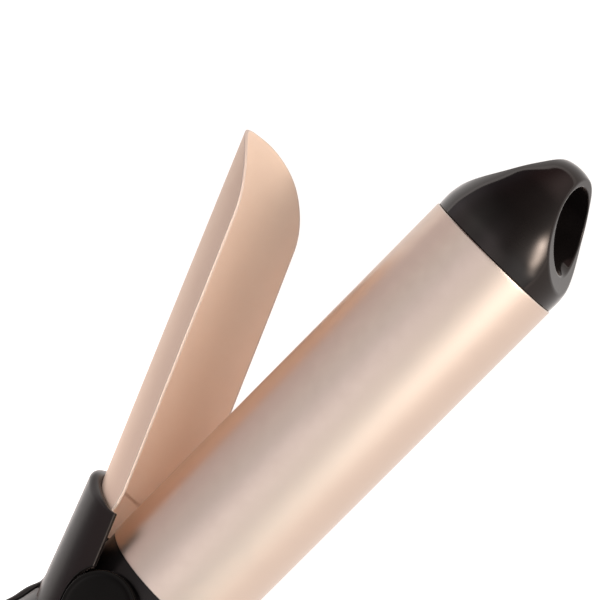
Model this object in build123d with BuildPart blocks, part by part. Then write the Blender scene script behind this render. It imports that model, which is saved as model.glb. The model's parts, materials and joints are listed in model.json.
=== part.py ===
from build123d import *
import math
import os

os.makedirs("parts", exist_ok=True)

# ---------------------------------------------------------------------------
# Curling iron with a spring clamp, lying on its side with the clamp open.
# +X runs along the barrel to the cool tip, +Y is the side the clamp opens to,
# +Z is up.  Origin: on the surface the iron lies on, under the middle of its
# bounding box.  Millimetres.
# ---------------------------------------------------------------------------

# where the iron's own datum (barrel axis at the tip seam) sits in the frame
X_SEAM = 141.45
Y_AXIS = -23.356
Z_AXIS = 22.3

# barrel
R_BARREL = 19.05
BARREL_WALL = 1.2
L_BARREL = 115.0
SEAM_CHAMFER = 0.3

# cool tip
R_TIP = 18.75
L_TIP = 30.1
TIP_PROFILE = [(0.0, 18.75), (3.8, 18.78), (6.19, 18.42), (8.57, 17.86), (10.95, 17.15), (13.34, 16.22),
               (15.72, 15.12), (18.10, 13.98), (20.48, 12.78), (22.86, 11.20), (25.24, 9.35), (27.62, 7.20),
               (29.3, 4.4), (L_TIP, 0.0)]
SCOOP_R = 70.1
SCOOP_X = 52.6
SCOOP_Y = 69.7
HANG_X = 17.8
HANG_R = 9.6
TIP_HOLE_ROUND = 0.35
TIP_SCOOP_ROUND = 0.60

# clamp
PIVOT_X = -128.2
PIVOT_Y = -0.9
OPEN_DEG = 25.3
SHEET_RI = 19.35
SHEET_RO = 20.3
SHEET_HALF_WRAP = 71.3
SHEET_REAR = -117.0

# lever housing (all in the clamp's closed position)
HOUSING_RI = 20.4
HOUSING_HALF_WIDTH = 22.3
HOUSING_EDGE_Y = 4.6
EAR_ARC_R = 11.4
WEB_Z0, WEB_Z1 = 17.95, 19.30

# pivot
CAP_R = 10.58
CAP_Z0, CAP_Z1 = 19.40, 20.95
BOSS_R = 3.50
BUSH_R = 3.54
BUSH_RO = 5.00
NECK_R = 18.67
NECK_FLAT_Z = 17.80

# handle
HANDLE_FRONT = -147.0
HANDLE_REAR = -296.0
HANDLE_WALL = 2.5
HANDLE_PROFILE = [(-147.0, 19.3), (-160.0, 19.25), (-180.0, 19.3), (-205.0, 20.2), (-235.0, 21.0), (-262.0, 20.5),
                  (-282.0, 19.2), (-296.0, 17.6)]
SCREWS = [(-174.0, 17.8), (-252.0, 19.2), (-274.0, 18.2)]   # station and column height
PANEL_X0, PANEL_X1, PANEL_Z = -246.0, -198.0, 9.0
BUTTONS = {"power_button": (-237.0, 5.0), "plus_button": (-221.5, 4.0), "minus_button": (-210.5, 4.0)}

# cord swivel
TAIL_END = -304.0
SWIVEL_R = 7.50
SWIVEL_BORE = 7.56
CORD_R = 3.6
SWIVEL_END = -313.0

# stand
STAND_X, STAND_Y = -152.5, -6.0
STAND_Z0, STAND_Z1 = 20.2, 22.3

# ---------------------------------------------------------------------------
# frames and working planes
# ---------------------------------------------------------------------------
IRON = Plane(origin=(X_SEAM, Y_AXIS, Z_AXIS), x_dir=(1, 0, 0), z_dir=(0, 0, 1))
_a = math.radians(OPEN_DEG)
_ox = PIVOT_X - (PIVOT_X * math.cos(_a) - PIVOT_Y * math.sin(_a))
_oy = PIVOT_Y - (PIVOT_X * math.sin(_a) + PIVOT_Y * math.cos(_a))
CLAMP = Plane(origin=(X_SEAM + _ox, Y_AXIS + _oy, Z_AXIS), x_dir=(math.cos(_a), math.sin(_a), 0), z_dir=(0, 0, 1))


def plan(frame, z=0.0, x=0.0, y=0.0):
    """plane seen from above: local x along the frame, local y towards the clamp side"""
    return Plane(origin=frame.from_local_coords(Vector(x, y, z)), x_dir=frame.x_dir, z_dir=frame.z_dir)


def section(frame, x=0.0, y=0.0, z=0.0):
    """plane across the frame's long axis: local x towards the clamp side, local y up"""
    return Plane(origin=frame.from_local_coords(Vector(x, y, z)), x_dir=frame.y_dir, z_dir=frame.x_dir)


def side(frame, y=0.0, x=0.0, z=0.0):
    """plane across the frame's y axis: local x along the frame, local y up; its normal is the frame's -y"""
    return Plane(origin=frame.from_local_coords(Vector(x, y, z)), x_dir=frame.x_dir, z_dir=frame.y_dir * -1)


def long_axis(frame, y=0.0, z=0.0):
    return Axis(frame.from_local_coords(Vector(0, y, z)), frame.x_dir)


def finish(piece, name):
    piece.part.label = name
    export_step(piece.part, "parts/" + name + ".step")


# ---------------------------------------------------------------------------
# barrel and what is inside it
# ---------------------------------------------------------------------------
with BuildPart() as barrel_tube:
    with BuildSketch(section(IRON, -L_BARREL)):
        Circle(R_BARREL)
        Circle(R_BARREL - BARREL_WALL, mode=Mode.SUBTRACT)
    extrude(amount=L_BARREL)
    rims = [e for e in barrel_tube.edges().filter_by(GeomType.CIRCLE) if abs(e.radius - R_BARREL) < 1e-3]
    chamfer(rims, SEAM_CHAMFER)
finish(barrel_tube, "barrel_tube")

with BuildPart() as cool_tip:
    with BuildSketch(plan(IRON)):
        with BuildLine():
            Line((0, 0), (0, R_TIP))
            Spline(*TIP_PROFILE, tangents=[(1, 0.02), (0, -1)])
            Line((L_TIP, 0), (0, 0))
        make_face()
    revolve(axis=long_axis(IRON))
    # concave scoops on the clamp side and opposite it
    with BuildSketch(plan(IRON)):
        with Locations((SCOOP_X, SCOOP_Y), (SCOOP_X, -SCOOP_Y)):
            Circle(SCOOP_R)
    extrude(amount=30, both=True, mode=Mode.SUBTRACT)
    # hanging hole
    with BuildSketch(side(IRON)):
        with Locations((HANG_X, 0)):
            Circle(HANG_R)
    extrude(amount=30, both=True, mode=Mode.SUBTRACT)
    # rounded rims of the hole, then of the scoops
    fillet([e for e in cool_tip.edges() if 60 < e.length < 70], TIP_HOLE_ROUND)
    fillet([e for e in cool_tip.edges() if e.geom_type == GeomType.BSPLINE
            and (abs(e.length - 41.6) < 1 or abs(e.length - 83.3) < 2
                 or abs(e.length - 4.5) < 0.3 or abs(e.length - 3.4) < 0.3)], TIP_SCOOP_ROUND)
    # spigot that snaps into the barrel
    with BuildSketch(section(IRON, -10)):
        Circle(17.75)
        Circle(14.5, mode=Mode.SUBTRACT)
    extrude(amount=10.5)
    with BuildSketch(section(IRON, -3)):
        Circle(14.5)
    extrude(amount=6.5, mode=Mode.SUBTRACT)
finish(cool_tip, "cool_tip")

with BuildPart() as tip_shield:
    with BuildSketch(section(IRON, -12.2)):
        Circle(17.6)
        with Locations((0, 0)):
            Circle(3.0, mode=Mode.SUBTRACT)
    extrude(amount=1.6)
finish(tip_shield, "tip_shield")

with BuildPart() as heat_spreaders:
    for s in (1, -1):
        with BuildSketch(section(IRON, -98)):
            Circle(17.75)
            Circle(13.8, mode=Mode.SUBTRACT)
            with Locations((s * 3.2, 0)):
                Rectangle(3.2, 30)
            with Locations((-s * 20 + s * 1.6, 0)):
                Rectangle(40, 60, mode=Mode.SUBTRACT)
        extrude(amount=80)
finish(heat_spreaders, "heat_spreaders")

with BuildPart() as ptc_heater:
    with BuildSketch(section(IRON, -92)):
        RectangleRounded(3.1, 22, 0.6)
    extrude(amount=66)
finish(ptc_heater, "ptc_heater")

with BuildPart() as thermal_fuse:
    with BuildSketch(section(IRON, -92, y=7.6, z=0)):
        Circle(2.0)
    extrude(amount=11)
    with BuildSketch(section(IRON, -97, y=7.6, z=0)):
        Circle(0.5)
    extrude(amount=21)
finish(thermal_fuse, "thermal_fuse")

with BuildPart() as thermistor:
    with BuildSketch(section(IRON, -64, y=6.2, z=0)):
        Circle(1.3)
    extrude(amount=4)
    with BuildSketch(section(IRON, -78, y=6.2, z=0)):
        with Locations((0, 0.7), (0, -0.7)):
            Circle(0.35)
    extrude(amount=15)
finish(thermistor, "thermistor")

# ---------------------------------------------------------------------------
# neck with the pivots
# ---------------------------------------------------------------------------
with BuildPart() as neck:
    with BuildSketch(section(IRON, -147)):
        Circle(NECK_R)
    extrude(amount=32)
    # spigot inside the barrel
    with BuildSketch(section(IRON, -115)):
        Circle(17.75)
    extrude(amount=11)
    # tail gripped by the handle shells, with a rib that fits their groove
    with BuildSketch(section(IRON, -164)):
        Circle(15.6)
    extrude(amount=17)
    with BuildSketch(section(IRON, -158)):
        Circle(16.5)
    extrude(amount=4)
    # way through for the leads
    with BuildSketch(section(IRON, -165)):
        RectangleRounded(13.0, 15.0, 2.0)
    extrude(amount=62, mode=Mode.SUBTRACT)
    with BuildSketch(section(IRON, -110)):
        Circle(14.0)
    extrude(amount=7, mode=Mode.SUBTRACT)
    for s in (1, -1):
        # flat under the ear and behind it
        with BuildSketch(plan(IRON, s * NECK_FLAT_Z)):
            with Locations((PIVOT_X, PIVOT_Y)):
                Circle(CAP_R + 0.25)
            with Locations((-137.7, 0)):
                Rectangle(19, 50)
        extrude(amount=s * 6, mode=Mode.SUBTRACT)
        # ring pocket for the torsion spring
        with BuildSketch(plan(IRON, s * 14.6)):
            with Locations((PIVOT_X, PIVOT_Y)):
                Circle(8.3)
                Circle(5.6, mode=Mode.SUBTRACT)
        extrude(amount=s * 4, mode=Mode.SUBTRACT)
        # stub that the ear turns on
        with BuildSketch(plan(IRON, s * (NECK_FLAT_Z - 1.0))):
            with Locations((PIVOT_X, PIVOT_Y)):
                Circle(BOSS_R)
        extrude(amount=s * (CAP_Z0 - NECK_FLAT_Z + 1.0 - 0.02))
        with BuildSketch(plan(IRON, s * 8.0)):
            with Locations((PIVOT_X, PIVOT_Y)):
                Circle(2.05)
        extrude(amount=s * 14, mode=Mode.SUBTRACT)
        # hole for the spring's fixed leg
        with BuildSketch(plan(IRON, s * 12.0)):
            with Locations((PIVOT_X, PIVOT_Y - 6.95)):
                Circle(0.65)
        extrude(amount=s * 4, mode=Mode.SUBTRACT)
    # relief under the lever
    with BuildSketch(plan(IRON)):
        with BuildLine():
            Polyline([(-123.5, 19.5), (-128.0, 13.2), (-133.0, 9.5), (-147.5, 8.3), (-147.5, 22), (-123.5, 22)], close=True)
        make_face()
    extrude(amount=30, both=True, mode=Mode.SUBTRACT)
finish(neck, "neck")

with BuildPart() as neck_shield:
    with BuildSketch(section(IRON, -103.4)):
        Circle(17.6)
        Rectangle(14, 16, mode=Mode.SUBTRACT)
    extrude(amount=1.2)
finish(neck_shield, "neck_shield")

with BuildPart() as pivot_caps:
    for s in (1, -1):
        with BuildSketch(plan(IRON, s * CAP_Z0)):
            with Locations((PIVOT_X, PIVOT_Y)):
                Circle(CAP_R)
        extrude(amount=s * (CAP_Z1 - CAP_Z0))
        with BuildSketch(plan(IRON, s * (CAP_Z1 - 0.35))):
            with Locations((PIVOT_X, PIVOT_Y)):
                Circle(CAP_R - 1.5)
        extrude(amount=s * 2, mode=Mode.SUBTRACT)
        with BuildSketch(plan(IRON, s * 9.0)):
            with Locations((PIVOT_X, PIVOT_Y)):
                Circle(2.0)
        extrude(amount=s * (CAP_Z0 + 0.5 - 9.0))
finish(pivot_caps, "pivot_caps")

# torsion springs: two turns and two axial legs each
SPRING_R = 6.95
WIRE_R = 0.45

with BuildPart() as clamp_springs:
    for s in (1, -1):
        with BuildSketch(plan(IRON, s * 15.1)):
            with Locations((PIVOT_X, PIVOT_Y)):
                Circle(SPRING_R + WIRE_R)
                Circle(SPRING_R - WIRE_R, mode=Mode.SUBTRACT)
        extrude(amount=s * 0.85)
        with BuildSketch(plan(IRON, s * 16.1)):
            with Locations((PIVOT_X, PIVOT_Y)):
                Circle(SPRING_R + WIRE_R)
                Circle(SPRING_R - WIRE_R, mode=Mode.SUBTRACT)
        extrude(amount=s * 0.85)
        with BuildSketch(plan(IRON, s * 15.2)):
            with Locations((PIVOT_X, PIVOT_Y - SPRING_R)):
                Circle(WIRE_R)
        extrude(amount=s * -2.7)
        with BuildSketch(plan(IRON, s * 15.2)):
            with Locations((PIVOT_X, PIVOT_Y + SPRING_R)):
                Circle(WIRE_R)
        extrude(amount=s * 3.4)
finish(clamp_springs, "clamp_springs")

# ---------------------------------------------------------------------------
# handle
# ---------------------------------------------------------------------------
def handle_outer_face(inset, x0, x1):
    """half profile of the handle between two stations, moved in by inset"""
    pts = [(x, r - inset) for x, r in HANDLE_PROFILE]
    with BuildSketch(plan(IRON), mode=Mode.PRIVATE) as sk:
        with BuildLine():
            top = Spline(*pts)
            Polyline([pts[-1], (pts[-1][0], 0), (pts[0][0], 0), pts[0]])
        make_face()
        with Locations(((x0 + x1) / 2, 15)):
            Rectangle(x1 - x0, 60, mode=Mode.INTERSECT)
    return sk.sketch


def handle_shell(s):
    with BuildPart() as shell:
        add(handle_outer_face(0.0, HANDLE_REAR, HANDLE_FRONT))
        revolve(axis=long_axis(IRON))
        fillet([e for e in shell.edges().filter_by(GeomType.CIRCLE)
                if abs(e.center().X - (X_SEAM + HANDLE_FRONT)) < 0.01 and e.radius > 19], 1.2)
        # hollow, with an end wall at the front that grips the neck
        add(handle_outer_face(HANDLE_WALL, HANDLE_REAR - 1, -163.0))
        revolve(axis=long_axis(IRON), mode=Mode.SUBTRACT)
        with BuildSketch(section(IRON, HANDLE_FRONT + 1)):
            Circle(15.65)
        extrude(amount=-20, mode=Mode.SUBTRACT)
        with BuildSketch(section(IRON, -158.1)):
            Circle(16.55)
        extrude(amount=4.2, mode=Mode.SUBTRACT)
        # keep one half
        with BuildSketch(plan(IRON)):
            with Locations((-220, s * 50)):
                Rectangle(200, 100)
        extrude(amount=60, both=True, mode=Mode.INTERSECT)
        # screw columns
        for x, h in SCREWS:
            with BuildSketch(side(IRON, 0)):
                with Locations((x, 0)):
                    Circle(4.2)
            extrude(amount=-s * h)
            with BuildSketch(side(IRON, 0)):
                with Locations((x, 0)):
                    Circle(1.3 if s > 0 else 1.65)
            extrude(amount=-s * (10.0 if s > 0 else 40.0), mode=Mode.SUBTRACT)
            if s < 0:
                with BuildSketch(side(IRON, -11.0)):
                    with Locations((x, 0)):
                        Circle(3.0)
                extrude(amount=30, mode=Mode.SUBTRACT)
        if s < 0:
            with BuildSketch(plan(IRON)):
                with Locations((STAND_X, STAND_Y)):
                    Circle(2.52)
            extrude(amount=30, both=True, mode=Mode.SUBTRACT)
        if s > 0:
            with BuildSketch(side(IRON, 10)):
                with Locations(((PANEL_X0 + PANEL_X1) / 2, 0)):
                    RectangleRounded(PANEL_X1 - PANEL_X0, 2 * PANEL_Z, 4.0)
            extrude(amount=-30, mode=Mode.SUBTRACT)
    return shell


handle_upper = handle_shell(1)
finish(handle_upper, "handle_upper")
handle_lower = handle_shell(-1)
finish(handle_lower, "handle_lower")

with BuildPart() as handle_screws:
    for x, h in SCREWS:
        with BuildSketch(side(IRON, -11.1)):
            with Locations((x, 0)):
                Circle(2.8)
        extrude(amount=2.2)
        with BuildSketch(side(IRON, -11.2)):
            with Locations((x, 0)):
                Circle(1.25)
        extrude(amount=-19.2)
        with BuildSketch(side(IRON, -12.2)):
            with Locations((x, 0)):
                Rectangle(3.4, 0.8)
                Rectangle(0.8, 3.4)
        extrude(amount=2.0, mode=Mode.SUBTRACT)
finish(handle_screws, "handle_screws")

with BuildPart() as control_panel:
    add(handle_outer_face(0.0, HANDLE_REAR, HANDLE_FRONT))
    revolve(axis=long_axis(IRON))
    with BuildSketch(side(IRON, 16.6)):
        with Locations(((PANEL_X0 + PANEL_X1) / 2, 0)):
            RectangleRounded(PANEL_X1 - PANEL_X0 - 0.2, 2 * PANEL_Z - 0.2, 3.9)
    extrude(amount=-10, mode=Mode.INTERSECT)
    for x, r in BUTTONS.values():
        with BuildSketch(side(IRON, 10)):
            with Locations((x, 0)):
                Circle(r + 0.15)
        extrude(amount=-20, mode=Mode.SUBTRACT)
        with BuildSketch(side(IRON, 10)):
            with Locations((x, 0)):
                Circle(r + 0.9)
        extrude(amount=-8.2, mode=Mode.SUBTRACT)
    with BuildSketch(side(IRON, 10)):
        with Locations((-202.5, 3.0), (-202.5, 0.0), (-202.5, -3.0)):
            Circle(0.8)
    extrude(amount=-20, mode=Mode.SUBTRACT)
finish(control_panel, "control_panel")

with BuildPart() as light_guides:
    with BuildSketch(side(IRON, 11.6)):
        with Locations((-202.5, 3.0), (-202.5, 0.0), (-202.5, -3.0)):
            Circle(0.78)
    extrude(amount=-8.4)
finish(light_guides, "light_guides")


def button(name, x, r):
    with BuildPart() as b:
        with BuildSketch(side(IRON, 13.2)):
            with Locations((x, 0)):
                Circle(r)
        extrude(amount=-8.6)
        fillet(b.faces().sort_by(Axis.Y)[-1].edges(), 0.7)
        with BuildSketch(side(IRON, 17.1)):
            with Locations((x, 0)):
                Circle(r + 0.75)
        extrude(amount=-0.9)
    finish(b, name)


for name, (x, r) in BUTTONS.items():
    button(name, x, r)

with BuildPart() as circuit_board:
    with BuildSketch(side(IRON, 7.0)):
        with Locations((-212.5, 0)):
            Rectangle(66, 24)
        with Locations((-182.0, 9), (-182.0, -9)):
            Circle(1.3, mode=Mode.SUBTRACT)
    extrude(amount=-1.6)
finish(circuit_board, "circuit_board")

with BuildPart() as tact_switches:
    for x, r in BUTTONS.values():
        with BuildSketch(side(IRON, 8.6)):
            with Locations((x, 0)):
                Rectangle(6, 6)
        extrude(amount=-2.6)
        with BuildSketch(side(IRON, 11.2)):
            with Locations((x, 0)):
                Circle(1.7)
        extrude(amount=-1.0)
finish(tact_switches, "tact_switches")

with BuildPart() as power_triac:
    with BuildSketch(side(IRON, 7.0)):
        with Locations((-188.0, 0)):
            Rectangle(10, 15)
    extrude(amount=4.5)
finish(power_triac, "power_triac")

with BuildPart() as capacitors:
    with BuildSketch(side(IRON, 7.0)):
        with Locations((-204.0, 5.5), (-204.0, -5.5)):
            Circle(4.0)
    extrude(amount=11)
finish(capacitors, "capacitors")

with BuildPart() as heater_leads:
    for z in (6.0, -6.0):
        with BuildSketch(section(IRON, -182, y=-4.0, z=z)):
            Circle(1.1)
        extrude(amount=83)
finish(heater_leads, "heater_leads")

# ---------------------------------------------------------------------------
# tail and cord swivel
# ---------------------------------------------------------------------------
with BuildPart() as tail_cap:
    with BuildSketch(plan(IRON)):
        with BuildLine():
            Polyline([(-296.0, 17.55), (-296.0, SWIVEL_BORE), (TAIL_END, SWIVEL_BORE), (TAIL_END, 12.2)])
            ThreePointArc((TAIL_END, 12.2), (-301.6, 15.9), (-296.0, 17.55))
        make_face()
    revolve(axis=long_axis(IRON))
    with BuildSketch(section(IRON, -296.0)):
        Circle(14.9)
        Circle(SWIVEL_BORE, mode=Mode.SUBTRACT)
    extrude(amount=4.5)
finish(tail_cap, "tail_cap")

with BuildPart() as swivel_gland:
    with BuildSketch(section(IRON, -285.6)):
        Circle(SWIVEL_R)
    extrude(amount=-18.7)
    with BuildSketch(section(IRON, -291.2)):
        Circle(10.5)
    extrude(amount=2.2)
    with BuildSketch(plan(IRON)):
        with BuildLine():
            Polyline([(TAIL_END - 0.3, 0), (TAIL_END - 0.3, 10.2), (SWIVEL_END + 2.5, 8.6), (SWIVEL_END, 6.4), (SWIVEL_END, 0)], close=True)
        make_face()
    revolve(axis=long_axis(IRON))
    with BuildSketch(section(IRON, -280)):
        Circle(CORD_R)
    extrude(amount=-40, mode=Mode.SUBTRACT)
    with BuildSketch(section(IRON, -287.6)):
        Circle(8.5)
        Circle(SWIVEL_R - 0.8, mode=Mode.SUBTRACT)
    extrude(amount=1.0, mode=Mode.SUBTRACT)
finish(swivel_gland, "swivel_gland")

with BuildPart() as swivel_clip:
    with BuildSketch(section(IRON, -287.5)):
        Circle(9.6)
        Circle(SWIVEL_R - 0.75, mode=Mode.SUBTRACT)
        with Locations((9, 0)):
            Rectangle(8, 5, mode=Mode.SUBTRACT)
    extrude(amount=0.8)
finish(swivel_clip, "swivel_clip")

with BuildPart() as slip_rings:
    with BuildSketch(section(IRON, -285.6)):
        Circle(7.3)
        Circle(6.3, mode=Mode.SUBTRACT)
        Circle(5.3)
        Circle(4.3, mode=Mode.SUBTRACT)
    extrude(amount=0.6)
finish(slip_rings, "slip_rings")

with BuildPart() as slip_contacts:
    with BuildSketch(section(IRON, -284.8)):
        with Locations((0, 9.8)):
            Rectangle(2.6, 6.6)
        with Locations((0, -9.4)):
            Rectangle(2.6, 9.4)
    extrude(amount=0.4)
    with BuildSketch(section(IRON, -284.8)):
        with Locations((0, 12.3), (0, -12.9)):
            Rectangle(2.6, 1.2)
    extrude(amount=8)
finish(slip_contacts, "slip_contacts")

# ---------------------------------------------------------------------------
# fold-out stand
# ---------------------------------------------------------------------------
with BuildPart() as stand_pins:
    for s in (1, -1):
        with BuildSketch(plan(IRON, s * 17.2)):
            with Locations((STAND_X, STAND_Y)):
                Circle(2.5)
        extrude(amount=s * (STAND_Z1 - 0.25 - 17.2))
finish(stand_pins, "stand_pins")

with BuildPart() as stand:
    for s in (1, -1):
        with BuildSketch(plan(IRON, s * STAND_Z0)):
            with Locations((STAND_X, STAND_Y)):
                Circle(5.0)
            with BuildLine():
                Polyline([(STAND_X, STAND_Y + 5.0), (-190.0, -16.5), (-196.0, -21.0), (-196.0, -25.2), (-189.0, -25.2),
                          (STAND_X, STAND_Y - 5.0)], close=True)
            make_face()
            with Locations((STAND_X, STAND_Y)):
                Circle(2.55, mode=Mode.SUBTRACT)
        extrude(amount=s * (STAND_Z1 - STAND_Z0))
    with BuildSketch(section(IRON, -196.0)):
        with Locations((-23.6, 0)):
            Rectangle(3.2, 2 * STAND_Z0 + 1.0)
    extrude(amount=7.0)
finish(stand, "stand")

with BuildPart() as stand_pads:
    with BuildSketch(side(IRON, -25.2)):
        with Locations((-192.5, 17.5), (-192.5, -17.5)):
            RectangleRounded(6.0, 7.0, 1.5)
    extrude(amount=0.8)
finish(stand_pads, "stand_pads")

# ---------------------------------------------------------------------------
# clamp, in its closed-position coordinates carried by the CLAMP frame
# ---------------------------------------------------------------------------
SHEET_END = [(-25.0, 18.78), (-21.3, 18.62), (-17.5, 18.2), (-14.4, 17.6), (-11.6, 16.8), (-9.0, 15.7), (-6.7, 14.3),
             (-4.9, 12.6), (-3.4, 10.6), (-2.2, 8.3), (-1.4, 5.8), (-0.95, 3.0), (-0.8, 0.0)]

with BuildPart() as clamp_plate:
    with BuildSketch(section(CLAMP, SHEET_REAR)):
        Circle(SHEET_RO)
        Circle(SHEET_RI, mode=Mode.SUBTRACT)
        with BuildLine():
            w = math.radians(SHEET_HALF_WRAP)
            Polyline([(0, 0), (60 * math.cos(w), 60 * math.sin(w)), (90, 0), (60 * math.cos(w), -60 * math.sin(w))], close=True)
        make_face(mode=Mode.INTERSECT)
    extrude(amount=-SHEET_REAR)
    # rounded free end, seen square-on to the sheet
    ends = [(x, z * 1.034) for x, z in SHEET_END]
    with BuildSketch(side(CLAMP, 0)):
        with BuildLine():
            Spline(*ends)
            Spline(*[(x, -z) for x, z in ends])
            Polyline([(ends[0][0], -ends[0][1]), (ends[0][0], -24), (SHEET_REAR - 1, -24), (SHEET_REAR - 1, 24), (ends[0][0], 24), ends[0]])
        make_face()
    extrude(amount=-40, mode=Mode.INTERSECT)
    with BuildSketch(side(CLAMP, 15)):
        with Locations((-107.0, 0), (-113.5, 0)):
            Circle(1.6)
    extrude(amount=-10, mode=Mode.SUBTRACT)
finish(clamp_plate, "clamp_plate")

LIP = [(-96.0, 24.6), (-96.0, 22.4), (-96.7, 19.8), (-98.5, 17.2), (-100.7, 13.6), (-102.4, 10.2), (-103.8, 7.2), (-104.3, HOUSING_EDGE_Y)]
TOP = [(-100.2, 24.5), (-108.0, 25.0), (-116.0, 25.5), (-122.0, 25.9), (-127.6, 27.2), (-133.0, 31.3), (-141.0, 37.3),
       (-150.0, 42.2), (-158.0, 45.6), (-165.0, 48.0)]
LEVER_T = 3.6

with BuildPart() as lever_housing:
    # saddle: elliptical outside, cylindrical inside
    with BuildSketch(section(CLAMP, -140.0)):
        Ellipse(26.1, HOUSING_HALF_WIDTH)
    with BuildSketch(section(CLAMP, -96.0)):
        Ellipse(24.6, HOUSING_HALF_WIDTH - 0.15)
    loft()
    with BuildSketch(section(CLAMP, -141.0)):
        Circle(HOUSING_RI)
    extrude(amount=46, mode=Mode.SUBTRACT)
    with BuildSketch(plan(CLAMP)):
        with BuildLine():
            Spline(*LIP)
            a0 = math.degrees(math.asin((HOUSING_EDGE_Y - PIVOT_Y) / EAR_ARC_R))
            dx = EAR_ARC_R * math.cos(math.radians(a0))
            Line(LIP[-1], (PIVOT_X + dx, HOUSING_EDGE_Y))
            ThreePointArc((PIVOT_X + dx, HOUSING_EDGE_Y), (PIVOT_X, PIVOT_Y + EAR_ARC_R), (PIVOT_X - dx, HOUSING_EDGE_Y))
            Polyline([(PIVOT_X - dx, HOUSING_EDGE_Y), (-140.0, HOUSING_EDGE_Y), (-139.0, 10.0), (-135.0, 17.5), (-131.5, 21.0), (-131.5, 28.0), (-96.0, 28.0), LIP[0]])
        make_face()
    extrude(amount=40, both=True, mode=Mode.INTERSECT)
    # ear webs that reach the pivots
    for s in (1, -1):
        with BuildSketch(plan(CLAMP, s * WEB_Z0)):
            with Locations((PIVOT_X, PIVOT_Y)):
                Circle(9.9)
            with BuildLine():
                Polyline([(PIVOT_X - 7.0, PIVOT_Y + 7.0), (PIVOT_X - 8.6, PIVOT_Y + 12.6), (PIVOT_X + 8.6, PIVOT_Y + 12.6), (PIVOT_X + 7.0, PIVOT_Y + 7.0)], close=True)
            make_face()
        extrude(amount=s * (WEB_Z1 - WEB_Z0))
        with BuildSketch(plan(CLAMP, s * (WEB_Z0 - 2))):
            with Locations((PIVOT_X, PIVOT_Y)):
                Circle(BUSH_RO)
        extrude(amount=s * 5, mode=Mode.SUBTRACT)
        # hole for the spring's moving leg
        a1 = math.radians(90 - OPEN_DEG)
        with BuildSketch(plan(CLAMP, s * (WEB_Z0 - 2))):
            with Locations((PIVOT_X + SPRING_R * math.cos(a1), PIVOT_Y + SPRING_R * math.sin(a1))):
                Circle(0.75)
        extrude(amount=s * 5, mode=Mode.SUBTRACT)
    # thumb lever
    with BuildSketch(plan(CLAMP)):
        with BuildLine():
            low = [(x + 0.35 * LEVER_T, y - 0.93 * LEVER_T) for x, y in TOP[4:]]
            Spline(*TOP[3:])
            Line(TOP[-1], low[-1])
            Spline(*low[::-1])
            Polyline([low[0], (-124.0, 23.0), TOP[3]])
        make_face()
    extrude(amount=15, both=True)
    with BuildSketch(side(CLAMP, 22)):
        with BuildLine():
            Polyline([(-92, -30), (-131.0, -30), (-131.0, -9.6), (-140, -9.8), (-156.5, -11.4)])
            ThreePointArc((-156.5, -11.4), (-165.4, 0), (-156.5, 11.4))
            Polyline([(-156.5, 11.4), (-140, 9.8), (-131.0, 9.6), (-131.0, 30), (-92, 30), (-92, -30)])
        make_face()
    extrude(amount=60, both=True, mode=Mode.INTERSECT)
    # rivet holes
    with BuildSketch(side(CLAMP, 15)):
        with Locations((-107.0, 0), (-113.5, 0)):
            Circle(1.6)
    extrude(amount=-8.2, mode=Mode.SUBTRACT)
finish(lever_housing, "lever_housing")

with BuildPart() as clamp_rivets:
    with BuildSketch(side(CLAMP, 19.4)):
        with Locations((-107.0, 0), (-113.5, 0)):
            Circle(1.55)
    extrude(amount=-3.7)
finish(clamp_rivets, "clamp_rivets")

with BuildPart() as pivot_bushes:
    for s in (1, -1):
        with BuildSketch(plan(CLAMP, s * WEB_Z0)):
            with Locations((PIVOT_X, PIVOT_Y)):
                Circle(BUSH_RO - 0.01)
                Circle(BUSH_R, mode=Mode.SUBTRACT)
        extrude(amount=s * (WEB_Z1 - WEB_Z0))
finish(pivot_bushes, "pivot_bushes")

# soft pad set on the lever's far half, with three grip ribs
with BuildPart() as thumb_pad:
    PAD = [(-141.0, 37.3), (-150.0, 42.2), (-158.0, 45.6), (-161.5, 46.9)]
    with BuildSketch(plan(CLAMP)):
        with BuildLine():
            Spline(*[(x - 0.02, y + 0.04) for x, y in PAD])
            up = [(x - 0.45, y + 0.95) for x, y in PAD]
            Line((PAD[-1][0] - 0.02, PAD[-1][1] + 0.04), up[-1])
            Spline(*up[::-1])
            Line(up[0], (PAD[0][0] - 0.02, PAD[0][1] + 0.04))
        make_face()
    extrude(amount=7.5, both=True)
finish(thumb_pad, "thumb_pad")
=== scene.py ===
import json
import math

import bpy
import numpy as np
from mathutils import Matrix, Vector


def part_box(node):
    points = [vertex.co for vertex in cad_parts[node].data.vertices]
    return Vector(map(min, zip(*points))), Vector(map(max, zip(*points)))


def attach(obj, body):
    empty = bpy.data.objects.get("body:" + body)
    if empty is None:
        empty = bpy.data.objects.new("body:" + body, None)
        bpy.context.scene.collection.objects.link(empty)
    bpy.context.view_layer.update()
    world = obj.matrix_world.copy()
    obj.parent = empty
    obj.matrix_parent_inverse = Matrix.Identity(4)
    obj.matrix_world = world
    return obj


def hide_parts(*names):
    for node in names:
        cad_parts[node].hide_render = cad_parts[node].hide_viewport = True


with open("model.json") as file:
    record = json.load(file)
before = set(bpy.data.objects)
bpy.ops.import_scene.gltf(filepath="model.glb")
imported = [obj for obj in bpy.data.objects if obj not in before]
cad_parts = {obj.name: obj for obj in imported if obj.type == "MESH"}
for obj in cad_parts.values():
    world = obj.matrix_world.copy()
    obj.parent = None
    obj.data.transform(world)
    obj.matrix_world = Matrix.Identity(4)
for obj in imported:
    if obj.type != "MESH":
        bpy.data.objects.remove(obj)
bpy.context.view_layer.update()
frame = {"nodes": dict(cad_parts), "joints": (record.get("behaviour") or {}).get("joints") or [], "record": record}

# ---------------------------------------------------------------------------
# datum: barrel axis at the tip seam.  Everything below is in millimetres from
# it, x along the barrel to the tip, y to the clamp side, z up.
# ---------------------------------------------------------------------------
tube_lo, tube_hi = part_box("barrel_tube")
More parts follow.
